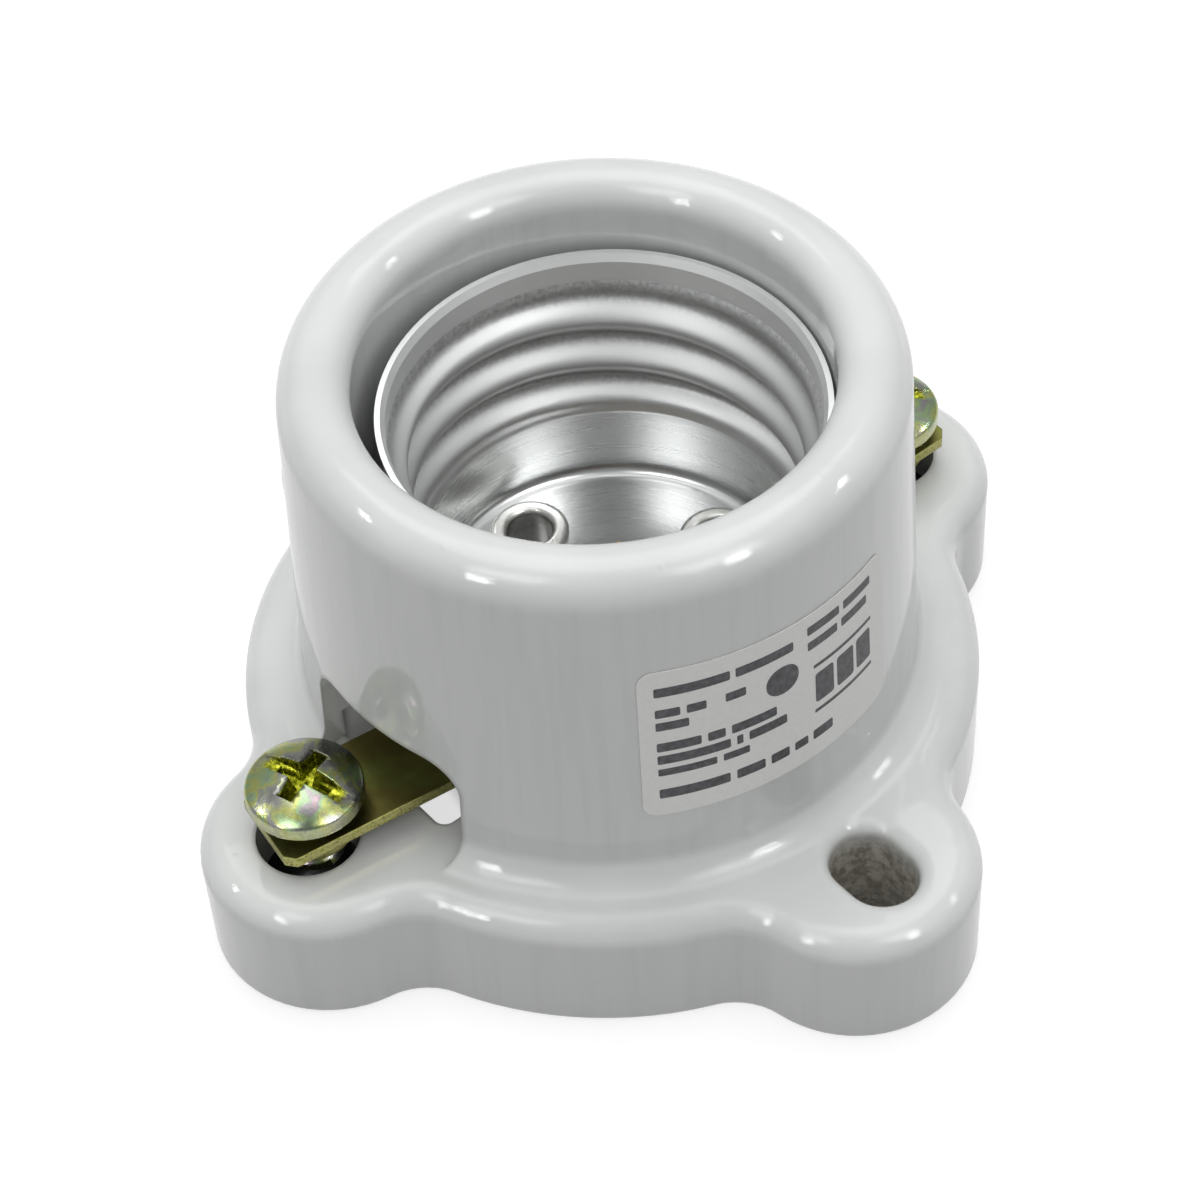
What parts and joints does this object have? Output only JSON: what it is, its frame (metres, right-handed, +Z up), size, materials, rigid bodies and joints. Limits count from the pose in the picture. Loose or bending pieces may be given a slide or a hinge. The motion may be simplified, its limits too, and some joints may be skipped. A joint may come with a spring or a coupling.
{
  "type": "screw-shell lamp holder",
  "caption": "Porcelain lamp holder with a round collar on a four-lobed base, a threaded metal lamp shell, screw terminals and slotted ears for fixing to a wall or board.",
  "frame": {"origin": "centre of the base's underside, on the axis of the collar", "axes": "+Z up the collar towards the lamp; -Y towards the front terminal, which feeds the shell; +X towards one fixing slot"},
  "size_m": [0.0624, 0.0624, 0.0347],
  "materials": {
    "porcelain": "glossy clear glaze, light grey white",
    "shell_aluminium": "spun, with fine turning marks",
    "eyelet_metal": "rolled, satin",
    "passivated_strip": "zinc plated, yellow passivated",
    "passivated_screw": "zinc plated, iridescent yellow passivation",
    "contact_bronze": "rolled, bright",
    "sealing_compound": "poured, glossy black",
    "label_paper": "matte self-adhesive paper"
  },
  "bodies": {
    "holder": {"porcelain_body": "porcelain", "screw_shell": "shell_aluminium", "shell_eyelet_1": "eyelet_metal", "shell_eyelet_2": "eyelet_metal", "shell_eyelet_3": "eyelet_metal", "shell_eyelet_4": "eyelet_metal", "terminal_strip_shell": "passivated_strip", "terminal_strip_centre": "passivated_strip", "centre_contact": "contact_bronze", "centre_rivet": "contact_bronze", "well_seal_shell": "sealing_compound", "well_seal_centre": "sealing_compound"},
    "front_screw": {"terminal_screw_shell": "passivated_screw"},
    "rear_screw": {"terminal_screw_centre": "passivated_screw"}
  },
  "joints": [
    {"name": "front_screw_travel", "type": "slide", "parent": "holder", "child": "front_screw", "axis": [0, 0, 1], "range_m": [-0.00138, 0.0034]},
    {"name": "rear_screw_travel", "type": "slide", "parent": "holder", "child": "rear_screw", "axis": [0, 0, 1], "range_m": [-0.00138, 0.0034]}
  ]
}
